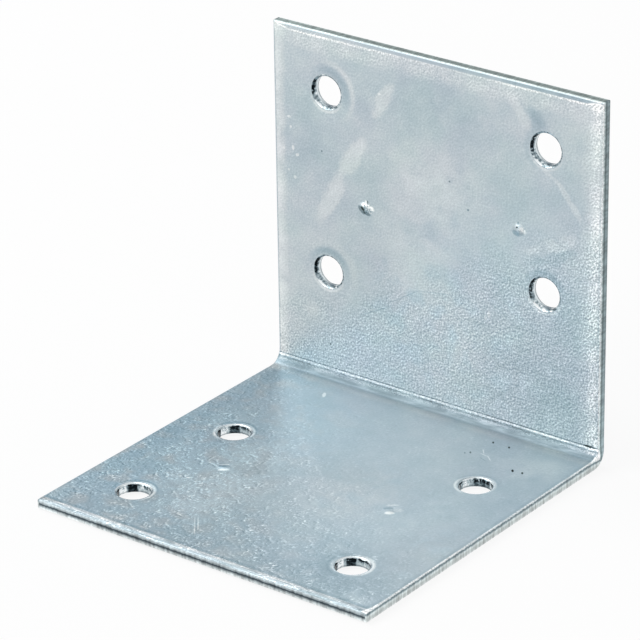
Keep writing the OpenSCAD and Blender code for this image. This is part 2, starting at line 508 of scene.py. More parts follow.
def make_sheet(sheet):
    """The bare folded sheet: a section extruded, turned round the fold and
    extruded again, with rows close enough together to be dented."""
    activate(None)
    bpy.ops.mesh.primitive_grid_add(
        x_subdivisions=COLUMNS, y_subdivisions=LAYERS, size=1,
        location=(0, sheet.front, sheet.thick / 2), rotation=(pi / 2, 0, 0))
    piece = bpy.context.object
    piece.name = "folded_sheet"
    piece.data.name = "folded_sheet"
    bpy.ops.object.transform_apply(location=False, rotation=True, scale=True)
    bpy.ops.object.mode_set(mode="EDIT")
    bpy.ops.transform.resize(value=(sheet.width, 1, sheet.thick))
    bpy.ops.object.mode_set(mode="OBJECT")
    bake_place()

    # The outermost columns are split finer, for the arrises
    column = sheet.width / COLUMNS
    edit(piece)
    pick("EDGE", lambda e: abs(e.verts[0].co.x - e.verts[1].co.x) > column / 2
         and sheet.side(middle_of(e)) < column)
    bpy.ops.mesh.subdivide(number_cuts=2)

    def extrude(vector):
        bpy.ops.mesh.extrude_region_move(TRANSFORM_OT_translate={"value": vector})

    bpy.ops.mesh.select_mode(type="FACE")
    bpy.ops.mesh.select_all(action="SELECT")
    extrude((0, END_ZONE, 0))
    extrude((0, sheet.axis_y - sheet.front - END_ZONE, 0))
    bpy.ops.mesh.spin(steps=FOLD_STEPS, angle=-pi / 2, axis=(1, 0, 0),
                      center=(0, sheet.axis_y, sheet.axis))
    extrude((0, 0, sheet.top - sheet.axis - END_ZONE))
    extrude((0, 0, END_ZONE))
    bpy.ops.mesh.select_all(action="SELECT")
    bpy.ops.mesh.remove_doubles(threshold=HAIR / 10)
    bpy.ops.mesh.normals_make_consistent(inside=False)

    def split(cuts, low, high):
        """Cut the edges that run along a leg and are between two lengths."""
        def along(e):
            a, b = e.verts[0].co, e.verts[1].co
            return abs(a.x - b.x) < HAIR and low < (a - b).length < high
        pick("EDGE", along)
        bpy.ops.mesh.subdivide(number_cuts=cuts)

    split(LEG_CUTS, sheet.width / 3, sheet.width * 2)
    split(END_CUTS, END_ZONE * 0.95, END_ZONE * 1.05)
    bpy.ops.object.mode_set(mode="OBJECT")
    return piece


def round_arrises(piece, sheet, sizes):
    """Bevel every sharp edge: wider on the inner face than on the outer, and
    half as wide along the cropped ends."""
    edit(piece)

    def sharp(e):
        return len(e.link_faces) == 2 and e.calc_face_angle() > radians(60)

    def inner(e):
        middle = middle_of(e)
        if middle.y > sheet.axis_y and middle.z < sheet.axis:
            reach = (middle.yz - Vector((sheet.axis_y, sheet.axis))).length
            return reach < sheet.axis - sheet.thick / 2
        return sheet.height(middle) > 0.98

    def at_end(e):
        return all(sheet.end(v.co) < HAIR for v in e.verts)

    for test, width in (
            (lambda e: sharp(e) and not inner(e), sizes.outer_arris),
            (lambda e: sharp(e) and inner(e), sizes.inner_arris),
            (lambda e: sharp(e) and inner(e) and at_end(e), sizes.inner_arris / 2)):
        pick("EDGE", test)
        bpy.ops.transform.edge_bevelweight(value=width / sizes.inner_arris)
    bpy.ops.object.mode_set(mode="OBJECT")
    apply_modifier(piece, "BEVEL", "arrises", limit_method="WEIGHT",
                   width=sizes.inner_arris, segments=3, use_clamp_overlap=False)


# The torn part of a bore: shares of the thickness from the outer face, and of
# the break-out
TORN_BORE = ((0.0, 1.0), (0.18, 0.8), (0.34, 0.25), (0.4, 0.0))
BORE_SIDES, LIP_STEPS = 72, 6


def make_punch(sheet, holes, centre, axis):
    """One cutter, with the true section of a punched bore: torn and wider at
    the outer face, burnished in the middle, a lip drawn down at the inner."""
    t, r = sheet.thick, holes.radius
    past = t / 2
    stations = [(-past, r + holes.breakout)]
    stations += [(level * t, r + holes.breakout * share) for level, share in TORN_BORE]
    for i in range(LIP_STEPS + 1):
        turn = pi / 2 * i / LIP_STEPS
        stations.append((t - holes.lip * (1 - sin(turn)), r + holes.lip * (1 - cos(turn))))
    stations.append((t + past, r + holes.lip))
    activate(None)
    bpy.ops.mesh.primitive_circle_add(vertices=BORE_SIDES, radius=stations[0][1],
                                      fill_type="NGON", location=(0, 0, stations[0][0]))
    punch = bpy.context.object
    bpy.ops.object.mode_set(mode="EDIT")
    bpy.ops.mesh.select_mode(type="FACE")
    for (z0, r0), (z1, r1) in zip(stations, stations[1:]):
        bpy.ops.mesh.extrude_region_move(TRANSFORM_OT_translate={"value": (0, 0, z1 - z0)})
        bpy.ops.transform.resize(value=(r1 / r0, r1 / r0, 1))
    bpy.ops.mesh.select_all(action="SELECT")
    bpy.ops.mesh.normals_make_consistent(inside=False)
    bpy.ops.object.mode_set(mode="OBJECT")
    bake_place()
    # The cutter's own axis runs from the outer face inwards
    turned = Vector((0, 0, 1)).rotation_difference(-axis)
    punch.matrix_world = Matrix.Translation(centre) @ turned.to_matrix().to_4x4()
    bake_place()
    return punch


def punch_holes(piece, sheet, holes, bore):
    """Punch all eight holes with one joined cutter, whose finish stays on the bores."""
    punches = [make_punch(sheet, holes, c, Vector((0, 0, -1))) for c in BASE_HOLES]
    punches += [make_punch(sheet, holes, c, Vector((0, 1, 0))) for c in UPRIGHT_HOLES]
    activate(None)
    for punch in punches:
        punch.select_set(True)
    cutter = punches[0]
    bpy.context.view_layer.objects.active = cutter
    bpy.ops.object.join()
    cutter.data.materials.clear()
    cutter.data.materials.append(bore)
    apply_modifier(piece, "BOOLEAN", "holes", operation="DIFFERENCE", solver="EXACT",
                   object=cutter, material_mode="TRANSFER")
    bpy.data.objects.remove(cutter)


def sink(piece, sheet, form, depth_of, weight_of):
    """Press a form into the inner face of each leg. The depth is asked for the
    leg, and the weight for the leg and a place on it."""
    for leg in sheet.legs:
        press(piece, leg.name + form, leg.axis, leg.inwards * depth_of(leg),
              lambda co: weight_of(leg, co) if leg.holds(co) else 0.0)


def roll_ends(piece, sheet, sizes):
    """Roll the inner face down at both cropped ends. The band narrows to
    nothing at the corners, and its inner edge wanders a little."""
    def weight(leg, co):
        if sheet.end(co) > sizes.roll_width * 1.4:
            return 0.0
        corner = ease(sheet.side(co), 0.0, 4 * MM)
        wander = 1 + 0.16 * grain(co, 2.2 * MM) + 0.07 * grain(co, 0.7 * MM)
        width = sizes.roll_width * (0.3 + 0.7 * corner) * wander
        drop = arc_drop(width - sheet.end(co), width, sizes.roll_depth)
        return drop * (0.45 + 0.55 * corner) * max(sheet.height(co), 0.0) ** 1.5

    sink(piece, sheet, "_roll", lambda leg: sizes.roll_depth * leg.roll_share, weight)


def roll_sides(piece, sheet, sizes):
    """Let the inner face fall off slightly towards the slit sides."""
    def weight(leg, co):
        if sheet.height(co) < 0.5:
            return 0.0
        width = sizes.side_roll_width * (1 + 0.3 * grain(co, 1.6 * MM, 3.0))
        return arc_drop(width - sheet.side(co), width, sizes.side_roll_depth)

    sink(piece, sheet, "_sides", lambda leg: sizes.side_roll_depth, weight)


def dish_holes(piece, sheet, holes):
    """Sink the inner face into a shallow dish round each punched hole."""
    def weight(leg, co):
        if sheet.height(co) < 0.4:
            return 0.0
        return 1 - ease(leg.nearest(co, leg.holes), holes.radius, holes.radius + 2.6 * MM)

    sink(piece, sheet, "_dishes", lambda leg: holes.dish, weight)


def raise_pips(piece, sheet, pips):
    """Push the small pips up out of the inner face, with the hollows behind."""
    for leg in sheet.legs:
        def around(face):
            middle = face.calc_center_median()
            near = leg.nearest(middle, leg.pips) < pips.diameter * 0.85
            return leg.holds(middle) and near

        edit(piece)
        for _ in range(2):
            pick("FACE", around)
            bpy.ops.mesh.subdivide(number_cuts=1)
        bpy.ops.object.mode_set(mode="OBJECT")

    def weight(leg, co):
        share = leg.nearest(co, leg.pips) / (pips.diameter / 2)
        dome = 1 - ease(share, 0.15, 1.3)
        return dome * (0.8 + 0.35 * grain(co, 0.55 * MM, 5.0))

    sink(piece, sheet, "_pips", lambda leg: -pips.height * leg.pip_share, weight)


def swell_fold(piece, sheet, sizes):
    """Let the squeezed inside of the fold swell out at both sides."""
    middle = Vector((0, sheet.inner_y, sheet.thick))
    for name, side in (("left_swell", -1), ("right_swell", 1)):
        def weight(co):
            if co.x * side < sheet.width / 2 - sizes.inner_arris * 1.5:
                return 0.0
            return 1 - ease((co.yz - middle.yz).length, 0.0, 2.6 * MM)

        press(piece, name, "X", side * sizes.fold_swell * 0.95, weight)


# ---------------------------------------------------------------------------
# Finishes
# ---------------------------------------------------------------------------

# The setting that the menu on each kind of node shows
MODES = {"Math": "operation", "VectorMath": "operation", "Mix": "blend_type",
         "MapRange": "interpolation_type", "Mapping": "vector_type",
         "TexGradient": "gradient_type"}


def add(tree, kind, inputs=(), mode=None, stops=(), **settings):
    """Add a shader node, set it and link it. Inputs come in order, or by name in
    a dictionary; each is a node, whose first output is used, a socket or a
    value. The mode is what the menu on the node shows. The stops of a colour
    ramp are a place and a colour, as sRGB hex, linear or one grey."""
    made = tree.nodes.new("ShaderNode" + kind)
    if mode:
        settings[MODES[kind]] = mode
    for key, value in settings.items():
        setattr(made, key, value)
    sockets = [s for s in made.inputs if s.enabled]
    named = inputs if isinstance(inputs, dict) else dict(enumerate(inputs))
    for key, value in named.items():
        socket = sockets[key] if isinstance(key, int) else made.inputs[key]
        if isinstance(value, bpy.types.Node):
            value = next(s for s in value.outputs if s.enabled)
        if isinstance(value, bpy.types.NodeSocket):
            tree.links.new(value, socket)
        else:
            socket.default_value = value
    if stops:
        band = made.color_ramp
        while len(band.elements) < len(stops):
            band.elements.new(0.5)
        for element, (place, tone) in zip(band.elements, stops):
            if isinstance(tone, str):
                tone = linear(tone)
            element.position = place
            element.color = (*(tone if isinstance(tone, list) else [tone] * 3), 1)
    return made


def new_material(name):
    """An empty material and its node tree."""
    material = bpy.data.materials.new(name)
    material.use_nodes = True
    tree = material.node_tree
    tree.nodes.clear()
    return material, tree


def dyed(stops, chosen, usual):
    """The stops of a ramp, dyed from the usual main colour to a chosen one."""
    dye = [new / old for new, old in zip(chosen, linear(usual))]
    return [(place, [c * d for c, d in zip(linear(tone), dye)]) for place, tone in stops]


class Unfolded:
    """Sockets that tell where a shaded point lies on the sheet laid flat:
    across it, along its inner face from the front end to the top, and how
    deep below the inner face, all in metres."""

    def __init__(self, tree, sheet):
        self.place = add(tree, "TexCoord").outputs["Object"]
        x, y, z = add(tree, "SeparateXYZ", (self.place,)).outputs
        total = add(tree, "Math", (y, z), "ADD")
        self.across = x
        self.along = add(tree, "Math", (total, sheet.thick), "SUBTRACT")
        from_back = add(tree, "Math", (HEEL, y), "SUBTRACT")
        height = add(tree, "Math", (z, from_back), "MINIMUM")
        self.depth = add(tree, "Math", (sheet.thick, height), "SUBTRACT")
        self.flat = add(tree, "CombineXYZ", (x, self.along, self.depth))
        # Patterns are pulled apart in depth, so that the two faces differ
        self.pattern = add(tree, "VectorMath", (self.flat, (1, 1, 9)), "MULTIPLY")
        beyond = add(tree, "Math", (x,), "ABSOLUTE")
        self.side = add(tree, "Math", (sheet.width / 2, beyond), "SUBTRACT")
        self.right = add(tree, "Math", (sheet.width / 2, x), "SUBTRACT")
        self.left = add(tree, "Math", (sheet.width / 2, x), "ADD")
        self.front = add(tree, "Math", (self.along, sheet.front), "SUBTRACT")
        self.top = add(tree, "Math", (HEEL - 2 * sheet.thick + sheet.top, self.along),
                       "SUBTRACT")
        self.upright = add(tree, "MapRange", (
            self.along, HEEL - sheet.thick * 1.2, HEEL - sheet.thick * 0.8), "SMOOTHSTEP")
        self.base = add(tree, "Math", (1.0, self.upright), "SUBTRACT")
        # Along the sheet at any depth: the same below a point of the inner face
        back = add(tree, "Math", (self.upright, -2.0, 1.0), "MULTIPLY_ADD")
        self.straight = add(tree, "Math", (self.depth, back, self.along), "MULTIPLY_ADD")
        # One on the inner face, zero deeper than half the thickness
        self.inner = add(tree, "MapRange", (
            self.depth, sheet.thick / 2, sheet.thick / 3), "SMOOTHSTEP")
        # Depth as a share of the thickness, a little ragged
        level = add(tree, "Math", (self.depth, sheet.thick), "DIVIDE")
        ragged = grains(tree, self.place, 0.6 * MM, 3)
        self.level = add(tree, "Math", (ragged, 0.05, level), "MULTIPLY_ADD")
        # For streaks that run through the thickness and hardly change with it
        lean = add(tree, "Math", (self.depth, 0.2), "MULTIPLY")
        self.through = add(tree, "CombineXYZ", (x, self.straight, lean))


def grains(tree, vector, size, detail=2.0, spread=0.18):
    """Noise of about a size, pulled out to run from -1 to 1."""
    made = add(tree, "TexNoise", {"Vector": vector, "Scale": 1 / size, "Detail": detail,
                                  "Roughness": 0.55})
    return add(tree, "MapRange", (made, 0.5 - spread, 0.5 + spread, -1.0, 1.0))


def strokes(tree, vector, width, length, turn, start, full):
    """Fine dashes that lie one way, turned by degrees: one in each dash, zero
    between them."""
    turned = add(tree, "Mapping", (
        vector, (0, 0, 0), (0, 0, radians(turn)), (width, length, 1 * MM)), "TEXTURE")
    made = add(tree, "TexNoise", {"Vector": turned, "Scale": 1.0, "Detail": 1.0})
    return add(tree, "MapRange", (made, start, full), "SMOOTHSTEP")


def flecks(tree, vector, size, start, full):
    """Irregular flecks with a lit side and a shaded side: above zero on one,
    below zero on the other."""
    sides = []
    for shift in (0.0, 0.2 * size):
        moved = add(tree, "VectorMath", (vector, (shift, shift, 0.0)), "ADD")
        made = add(tree, "TexNoise", {"Vector": moved, "Scale": 1 / size, "Detail": 3.0,
                                      "Roughness": 0.6, "Distortion": 0.8})
        sides.append(add(tree, "MapRange", (made, start, full), "SMOOTHSTEP"))
    return add(tree, "Math", (sides[1], -0.75, sides[0]), "MULTIPLY_ADD")


def spot_marks(tree, vector, marks, tone, crisp=1.0):
    """Add marks to a tone: full strength in the middle, falling smoothly to
    nothing at an ellipse round it. A crisp mark falls only near the ellipse."""
    for across, along, wide, long, turn, strength in marks:
        moved = add(tree, "Mapping", (
            vector, (across * MM, along * MM, 0.0), (0, 0, radians(turn)),
            (wide * MM, long * MM, MARK_DEPTH)), "TEXTURE")
        ball = add(tree, "TexGradient", (moved,), "SPHERICAL")
        soft = add(tree, "MapRange", (ball.outputs["Fac"], 0.0, crisp), "SMOOTHSTEP")
        tone = add(tree, "Math", (soft, strength, tone), "MULTIPLY_ADD")
    return tone


def ring_marks(tree, spot, marks, tone):
    """Add rings to a tone, strongest on the side that they face. The arc is the
    cosine of the turn at which a ring has died out."""
    plan = add(tree, "CombineXYZ", (spot.across, spot.along, 0.0))
    for across, along, radius, width, facing, arc, strength in marks:
        moved = add(tree, "Mapping", (
            plan, (across * MM, along * MM, 0.0), (0, 0, radians(facing))), "TEXTURE")
        reach = add(tree, "VectorMath", (moved,), "LENGTH")
        off = add(tree, "Math", (reach, radius * MM), "SUBTRACT")
        off = add(tree, "Math", (off,), "ABSOLUTE")
        ring = add(tree, "MapRange", (off, width * MM, 0.0), "SMOOTHSTEP")
        ahead = add(tree, "SeparateXYZ", (moved,))
        share = add(tree, "Math", (ahead, reach), "DIVIDE")
        share = add(tree, "MapRange", (share, arc, 0.95))
        ring = add(tree, "Math", (ring, share), "MULTIPLY")
        ring = add(tree, "Math", (ring, spot.inner), "MULTIPLY")
        tone = add(tree, "Math", (ring, strength, tone), "MULTIPLY_ADD")
    return tone


def profile(tree, value, reach, stops):
    """A curve through given stops over a distance up to its reach: each stop is a
    share of the reach and a height between -2 and 2."""
    share = add(tree, "Math", (value, reach), "DIVIDE", use_clamp=True)
    curve = add(tree, "ValToRGB", (share,), stops=[(at, (h + 2) / 4) for at, h in stops])
    return add(tree, "Math", (curve, 4.0, -2.0), "MULTIPLY_ADD")


def plate_finish(sheet, chosen):
    """Zinc electroplate with blue passivation on cold-rolled sheet steel: a
    pale, cool, half-matt metal with soft clouds where the passivation is
    thicker, light streaks and specks from handling, and the orange peel of the
    sheet. Painted light is laid over it: highlights and shade along the rims,
    round the holes, on the pips and in the fold, lit and shaded sides on the
    peel and the specks, glints, and a paler upright."""
    material, tree = new_material("blue_passivated_zinc_plate")
    spot = Unfolded(tree, sheet)
    pattern = spot.pattern

    # Tone is the share of full white that the eye sees: first the clouds and
    # the blooms that this sheet carries
    wavy = add(tree, "TexNoise", {"Vector": pattern, "Scale": 1 / (5 * MM), "Detail": 3.0})
    shift = add(tree, "VectorMath", (wavy.outputs["Color"], (0.5,) * 3), "SUBTRACT")
    bent = add(tree, "VectorMath", (shift, (3.0 * MM,) * 3, spot.flat), "MULTIPLY_ADD")
    tone = REST_TONE
    for size, detail, strength in ((14 * MM, 2.0, 0.014), (3.5 * MM, 3.0, 0.010)):
        cloud = grains(tree, pattern, size, detail)
        tone = add(tree, "Math", (cloud, strength, tone), "MULTIPLY_ADD")
    # The upright is painted paler than the base: painted light
    tone = add(tree, "Math", (spot.upright, UPRIGHT_PAINTED_LIGHT, tone), "MULTIPLY_ADD")
    tone = spot_marks(tree, bent, BLOOMS, tone)
    tone = spot_marks(tree, bent, STREAKS, tone, 0.45)
    # Painted highlights and painted shade of the dish round each hole
    tone = ring_marks(tree, spot, PAINTED_DISH_SHADING, tone)

    # Orange peel, drawn 1.5 times coarser than it is so that it shows. It is
    # strongest on the lower right of the upright and weak on the rest
    slope = add(tree, "Math", (spot.across, -0.5, spot.along), "MULTIPLY_ADD")
    wander = grains(tree, pattern, 7 * MM)
    slope = add(tree, "Math", (wander, 3 * MM, slope), "MULTIPLY_ADD")
    coarse = add(tree, "MapRange", (
        slope, PEEL_LINE + 6 * MM, PEEL_LINE - 6 * MM, 0.25, 1.0), "SMOOTHSTEP")
    least = add(tree, "Math", (spot.upright, 0.07, 0.12), "MULTIPLY_ADD")
    coarse = add(tree, "Math", (coarse, spot.upright), "MULTIPLY")
    coarse = add(tree, "Math", (coarse, least), "MAXIMUM")
    peel = grains(tree, pattern, PEEL, 3)
    # A copy shifted a little is taken from the peel, which paints each grain with a lit
    # side and a shaded side: painted light and shade
    aside = add(tree, "VectorMath", (pattern, (0.1 * MM, -0.1 * MM, 0.0)), "ADD")
    shade = grains(tree, aside, PEEL, 3)
    relief = add(tree, "Math", (shade, -0.35, peel), "MULTIPLY_ADD")
    # The grain, which holds this painted light and shade, is kept apart from the
    # tone, for it must not change the hue
    amount = add(tree, "Math", (coarse, 0.17), "MULTIPLY")
    grain = add(tree, "Math", (relief, amount), "MULTIPLY")
    uneven = add(tree, "Math", (grains(tree, pattern, 1.2 * MM), coarse), "MULTIPLY")
    grain = add(tree, "Math", (uneven, 0.018, grain), "MULTIPLY_ADD")

    # Rims rubbed bright, and painted highlights and painted shade where the rolled
    # and rounded edges catch or lose the light. Each curve starts at the edge of
    # the sheet. The band that cropping leaves along the top narrows towards both
    # corners
    narrow = add(tree, "MapRange", (spot.side, 0.0, 3.5 * MM, 2.2, 1.0), "SMOOTHSTEP")
    band_top = add(tree, "Math", (spot.top, narrow), "MULTIPLY")
    patchy = grains(tree, pattern, 4 * MM)
    patchy = add(tree, "Math", (patchy, 0.35, 0.75), "MULTIPLY_ADD")
    inner_upright = add(tree, "Math", (spot.upright, spot.inner), "MULTIPLY")
    to_right = add(tree, "MapRange", (spot.across, -24 * MM, 20 * MM))
    to_right = add(tree, "Math", (to_right, inner_upright), "MULTIPLY")
    # The painted highlight line below the band dies out in the middle of the width
    broken = add(tree, "MapRange", (spot.side, 25 * MM, 14 * MM, 0.25))
    broken = add(tree, "Math", (broken, inner_upright), "MULTIPLY")
    flare = add(tree, "MapRange", (spot.front, 0.0, 4.0 * MM, 0.35, 1.0), "SMOOTHSTEP")
    flared = add(tree, "Math", (spot.right, flare), "MULTIPLY")
    for edge, reach, share, strength, grainy, stops in (
            (spot.right, 4 * MM, spot.upright, 0.15, 1.1, (
                (0.0, 0.9), (0.06, 0.9), (0.1, 0.3), (0.2, 1.0), (0.4, 0.85),
                (0.65, 0.25), (1.0, 0.0))),
            (spot.left, 2.4 * MM, spot.upright, 0.14, 0.0, (
                (0.0, -0.9), (0.1, -0.2), (0.2, 0.9), (0.5, 0.6), (1.0, 0.0))),
            (band_top, 4 * MM, inner_upright, 0.135, 1.1, (
                (0.0, -0.6), (0.03, -0.6), (0.045, 0.0), (0.26, 0.35), (0.6, 0.4),
                (1.0, 0.0))),
            (band_top, 4 * MM, broken, 0.135, 1.1, (
                (0.17, 0.0), (0.205, 1.4), (0.24, 1.4), (0.29, 0.0))),
            (band_top, 4 * MM, to_right, 0.105, 1.1, (
                (0.0, 0.7), (0.03, 0.7), (0.06, -1.1), (0.16, -1.1), (0.2, 0.0))),
            (spot.left, 2.0 * MM, spot.base, 0.05, 0.0, (
                (0.0, 0.6), (0.4, 0.9), (0.7, 0.3), (1.0, 0.0))),
            (flared, 2.0 * MM, spot.base, 0.225, 1.1, (
                (0.0, 1.5), (0.14, 1.5), (0.22, -0.3), (0.5, 0.0), (1.0, 0.0))),
            (spot.front, 2.6 * MM, spot.base, 0.075, 1.1, (
                (0.0, -2.0), (0.12, -1.4), (0.25, 0.3), (0.37, 0.7), (0.43, -1.2),
                (0.52, -1.5), (0.6, -0.8), (0.75, 0.2), (1.0, 0.0)))):
        curve = profile(tree, edge, reach, stops)
        curve = add(tree, "Math", (curve, share), "MULTIPLY")
        curve = add(tree, "Math", (curve, patchy), "MULTIPLY")
        tone = add(tree, "Math", (curve, strength, tone), "MULTIPLY_ADD")
        if grainy:
            rim_light_grain = add(tree, "Math", (curve, relief), "MULTIPLY")
            grain = add(tree, "Math", (rim_light_grain, strength * grainy, grain), "MULTIPLY_ADD")

    # Specks of rubbed zinc, each with a painted lit side and a painted shaded side,
    # and dashes that are painted glints, dense on the left and front of the base,
    # and fine lines that the shear drew along the band at the front end
    aslant = add(tree, "Math", (spot.across, 0.8, spot.along), "MULTIPLY_ADD")
    dust_and_glints = add(tree, "MapRange", (aslant, 14 * MM, -22 * MM, 0.15), "SMOOTHSTEP")
    dust_and_glints = add(tree, "Math", (dust_and_glints, spot.base), "MULTIPLY")
    dust_and_glints = add(tree, "Math", (spot.upright, 0.07, dust_and_glints), "MULTIPLY_ADD")
    clustered = grains(tree, pattern, 5 * MM)
    clustered = add(tree, "Math", (clustered, 0.45, 0.75), "MULTIPLY_ADD")
    dust_and_glints = add(tree, "Math", (dust_and_glints, clustered), "MULTIPLY")
    far_left = add(tree, "MapRange", (spot.left, 12 * MM, 3 * MM))
    far_left = add(tree, "Math", (far_left, spot.base), "MULTIPLY")
    near_front = add(tree, "MapRange", (spot.front, 1.3 * MM, 1.0 * MM))
    near_front = add(tree, "Math", (near_front, spot.base), "MULTIPLY")
    dust_and_glints_base = add(tree, "Math", (spot.base, 0.35), "MULTIPLY")
    dust_and_glints_base = add(tree, "Math", (dust_and_glints, dust_and_glints_base), "MAXIMUM")
    dust_and_glints_base = add(tree, "Math", (dust_and_glints_base, spot.base), "MULTIPLY")
    specks = [(flecks(tree, pattern, size, start, full), share, strength)
              for size, start, full, share, strength in (
                  (1.1 * MM, 0.51, 0.71, dust_and_glints, 0.18), (0.5 * MM, 0.49, 0.69, dust_and_glints, 0.15),
                  (0.8 * MM, 0.50, 0.66, far_left, -0.12))]
    specks += [(strokes(tree, spot.flat, *lie), share, strength)
               for *lie, share, strength in (
                   (3.5 * MM, 0.1 * MM, 0.0, 0.52, 0.66, near_front, 0.12),
                   (3.5 * MM, 0.1 * MM, 0.0, 0.48, 0.36, near_front, -0.16),
                   (1.0 * MM, 0.42 * MM, 48, 0.62, 0.71, dust_and_glints, 0.19),
                   (1.6 * MM, 0.3 * MM, 40, 0.64, 0.73, dust_and_glints, 0.14),
                   (0.22 * MM, 1.3 * MM, -32, 0.58, 0.72, dust_and_glints_base, 0.05),
                   (0.22 * MM, 1.3 * MM, -32, 0.40, 0.28, dust_and_glints_base, -0.05))]
    for speck, share, strength in specks:
        speck = add(tree, "Math", (speck, share), "MULTIPLY")
        grain = add(tree, "Math", (speck, strength, grain), "MULTIPLY_ADD")
    # Nicks, and the painted highlights and painted shade round the pips and the fold
    tone = spot_marks(tree, spot.flat, NICKS_AND_PAINTED_LIGHT, tone, 0.4)
    there = spot_marks(tree, spot.flat, ROUGH_SPOTS, 0.0)
    rough = grains(tree, pattern, 0.3 * MM)
    tone = add(tree, "Math", (there, rough, tone), "MULTIPLY_ADD")

    # The fold: a painted dark line of shade above it, a painted highlight line, and
    # painted shade in its hollow, which is also rougher
    bend = add(tree, "Math", (spot.along, HEEL - 2 * sheet.thick - 2 * MM), "SUBTRACT")
    crease = profile(tree, bend, 7 * MM, (
        (0.0, 0.0), (0.12, 0.3), (0.26, 0.2), (0.34, -0.35), (0.42, -0.8), (0.5, -0.8),
        (0.56, -0.7), (0.586, -0.8), (0.609, -1.1), (0.631, -1.1), (0.654, -0.35),
        (0.677, 0.3), (0.695, 0.6), (0.703, 0.0), (0.713, -1.2), (0.727, -1.1),
        (0.74, 0.25), (0.77, 0.0)))
    uneven_crease = add(tree, "Math", (patchy, 0.25), "ADD")
    crease = add(tree, "Math", (crease, uneven_crease), "MULTIPLY")
    crease = add(tree, "Math", (crease, spot.inner), "MULTIPLY")
    tone = add(tree, "Math", (crease, 0.12, tone), "MULTIPLY_ADD")

    # Half of the grain goes in here, which alone would leave its light side
    # grey; the rest scales the colour below, which alone would turn it blue
    tone = add(tree, "Math", (grain, 0.5, tone), "MULTIPLY_ADD")
    metal = add(tree, "ValToRGB", (tone,), stops=dyed((
        (0.0, "#0C1113"), (0.3, "#46524F"), (0.45, "#6E7C82"), (0.58, "#8D9FA7"),
        (0.667, "#A1B1B9"), (0.722, PLATE), (0.765, "#C1C9CC"), (0.8, "#CBD2D4"),
        (0.863, "#DADFE0"), (0.93, "#EEF0EE"), (1.0, "#FFFFFF")), chosen, PLATE))
    tint = add(tree, "TexNoise", {"Vector": pattern, "Scale": 1 / (9 * MM), "Detail": 2.0})
    tint = add(tree, "ValToRGB", (tint,), stops=(
        (0.36, "#FAFFFC"), (0.5, "#FFFFFF"), (0.64, "#FFFBFE")))
    tinted = add(tree, "Math", (spot.upright, 0.35, 0.2), "MULTIPLY_ADD")
    cool = spot_marks(tree, bent, COOL_BLOOMS, 0.0, 0.85)
    kept = add(tree, "Math", (near_front, -0.8, 1.0), "MULTIPLY_ADD")
    cool = add(tree, "Math", (cool, kept), "MULTIPLY")
    warm = spot_marks(tree, bent, WARM_BLOOMS, 0.0)
    band = add(tree, "Math", (near_front, 0.6), "MULTIPLY")
    warm = add(tree, "Math", (warm, band), "MAXIMUM")
    for share, film in ((tinted, tint), (cool, COOL_FILM), (warm, WARM_FILM)):
        metal = add(tree, "Mix", (share, metal, film), "MULTIPLY", data_type="RGBA")
    glint = add(tree, "Math", (GRAIN_CONTRAST, grain), "POWER")
    metal = add(tree, "VectorMath", {0: metal, "Scale": glint}, "SCALE")

    height = add(tree, "Math", (coarse, 0.35), "MULTIPLY")
    bump = add(tree, "Bump", {"Strength": height, "Distance": 0.02 * MM, "Height": peel})
    hollow = add(tree, "MapRange", (crease, -0.3, -0.9, 0.42, 0.7))
    shader = add(tree, "BsdfPrincipled", {
        "Base Color": metal, "Metallic": 1.0, "Roughness": hollow, "Normal": bump})
    add(tree, "OutputMaterial", (shader,))
    return material


